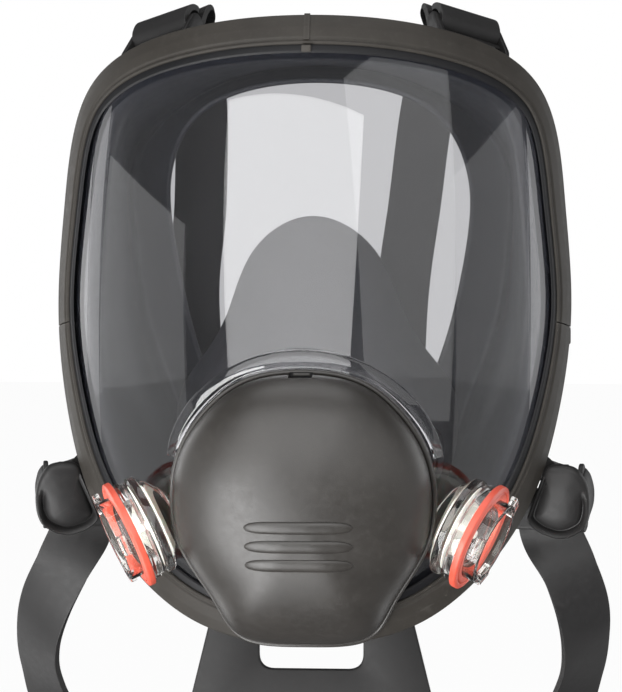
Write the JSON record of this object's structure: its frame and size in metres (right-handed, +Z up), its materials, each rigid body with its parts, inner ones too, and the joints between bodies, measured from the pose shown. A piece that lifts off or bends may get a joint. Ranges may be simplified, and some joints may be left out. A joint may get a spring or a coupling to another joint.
{
  "type": "full face respirator",
  "caption": "Full face respirator with a wide curved lens, side cartridge ports, a centre valve cover and a rubber head harness.",
  "frame": {"origin": "centre of the plane of the face opening, level with the frame's side screws", "axes": "+X to the viewer's right when the mask faces the viewer, -Y out of the front of the lens, +Z up"},
  "size_m": [0.2219, 0.1433, 0.2945],
  "materials": {
    "clear_lens": "clear polycarbonate, hard coated",
    "clear_port": "clear moulded polycarbonate",
    "frame_plastic": "fine matt nylon",
    "cover_plastic": "fine textured matt plastic",
    "seal_silicone": "soft satin silicone",
    "cup_silicone": "soft satin silicone",
    "valve_silicone": "thin soft silicone",
    "red_silicone": "satin red silicone",
    "black_rubber": "matt rubber",
    "strap_rubber": "matt moulded rubber",
    "dark_plastic": "matt plastic",
    "buckle_plastic": "smooth plastic",
    "steel": "bright steel"
  },
  "bodies": {
    "root": {"lens": "clear_lens", "upper_frame": "frame_plastic", "lower_frame": "frame_plastic", "frame_screws": "steel", "frame_nuts": "steel", "face_seal": "seal_silicone", "nose_cup": "cup_silicone", "nose_valve_seat_left": "dark_plastic", "nose_valve_seat_right": "dark_plastic", "centre_adapter": "dark_plastic", "adapter_gasket": "black_rubber", "adapter_ring": "dark_plastic", "speaking_diaphragm": "valve_silicone", "diaphragm_ring": "dark_plastic", "exhale_valve_seat": "dark_plastic", "port_body_left": "clear_port", "port_body_right": "clear_port", "port_gasket_left": "red_silicone", "port_gasket_right": "red_silicone", "head_cradle": "strap_rubber", "upper_strap_left": "strap_rubber", "upper_strap_right": "strap_rubber", "lower_strap_left": "strap_rubber", "lower_strap_right": "strap_rubber", "upper_anchor_left": "buckle_plastic", "upper_anchor_right": "buckle_plastic", "lower_anchor_left": "buckle_plastic", "lower_anchor_right": "buckle_plastic", "upper_pin_left": "steel", "upper_pin_right": "steel", "lower_pin_left": "steel", "lower_pin_right": "steel"},
    "centre_cover": {"centre_cover": "cover_plastic"},
    "exhale_flap": {"exhale_flap": "valve_silicone"},
    "inhale_flap_left": {"inhale_flap_left": "valve_silicone"},
    "inhale_flap_right": {"inhale_flap_right": "valve_silicone"},
    "nose_valve_flap_left": {"nose_valve_flap_left": "valve_silicone"},
    "nose_valve_flap_right": {"nose_valve_flap_right": "valve_silicone"},
    "upper_buckle_left": {"upper_buckle_left": "buckle_plastic", "upper_strap_bar_left": "buckle_plastic"},
    "upper_buckle_right": {"upper_buckle_right": "buckle_plastic", "upper_strap_bar_right": "buckle_plastic"},
    "lower_buckle_left": {"lower_buckle_left": "buckle_plastic", "lower_strap_bar_left": "buckle_plastic"},
    "lower_buckle_right": {"lower_buckle_right": "buckle_plastic", "lower_strap_bar_right": "buckle_plastic"}
  },
  "joints": [
    {"name": "cover_pull", "type": "slide", "parent": "root", "child": "centre_cover", "axis": [0, -1, 0], "range_m": [0, 0.03]},
    {"name": "exhale_valve", "type": "slide", "parent": "root", "child": "exhale_flap", "axis": [0, -0.9835, -0.1808], "range_m": [0, 0.002], "stiffness_N_per_m": 30},
    {"name": "inhale_valve_left", "type": "slide", "parent": "root", "child": "inhale_flap_left", "axis": [0.8709, 0.2703, 0.4104], "range_m": [0, 0.0015], "stiffness_N_per_m": 20},
    {"name": "inhale_valve_right", "type": "slide", "parent": "root", "child": "inhale_flap_right", "axis": [-0.8709, 0.2703, 0.4104], "range_m": [0, 0.0015], "stiffness_N_per_m": 20},
    {"name": "nose_valve_left", "type": "slide", "parent": "root", "child": "nose_valve_flap_left", "axis": [0.9025, 0.3811, -0.2006], "range_m": [0, 0.0015], "stiffness_N_per_m": 20},
    {"name": "nose_valve_right", "type": "slide", "parent": "root", "child": "nose_valve_flap_right", "axis": [-0.9025, 0.3811, -0.2006], "range_m": [0, 0.0015], "stiffness_N_per_m": 20},
    {"name": "upper_buckle_tilt_left", "type": "hinge", "parent": "root", "child": "upper_buckle_left", "pos_m": [-0.0565, -0.0395, 0.0985], "axis": [0.8603, -0.4574, 0.225], "range_deg": [-25, 20], "deforming": ["upper_strap_left"]},
    {"name": "upper_buckle_tilt_right", "type": "hinge", "parent": "root", "child": "upper_buckle_right", "pos_m": [0.0565, -0.0395, 0.0985], "axis": [0.8603, 0.4574, -0.225], "range_deg": [-25, 20], "deforming": ["upper_strap_right"]},
    {"name": "lower_buckle_tilt_left", "type": "hinge", "parent": "root", "child": "lower_buckle_left", "pos_m": [-0.083, -0.046, -0.052], "axis": [0.9781, 0.2079, 0], "range_deg": [-6, 25], "deforming": ["lower_strap_left"]},
    {"name": "lower_buckle_tilt_right", "type": "hinge", "parent": "root", "child": "lower_buckle_right", "pos_m": [0.083, -0.046, -0.052], "axis": [0.9781, -0.2079, 0], "range_deg": [-6, 25], "deforming": ["lower_strap_right"]}
  ]
}
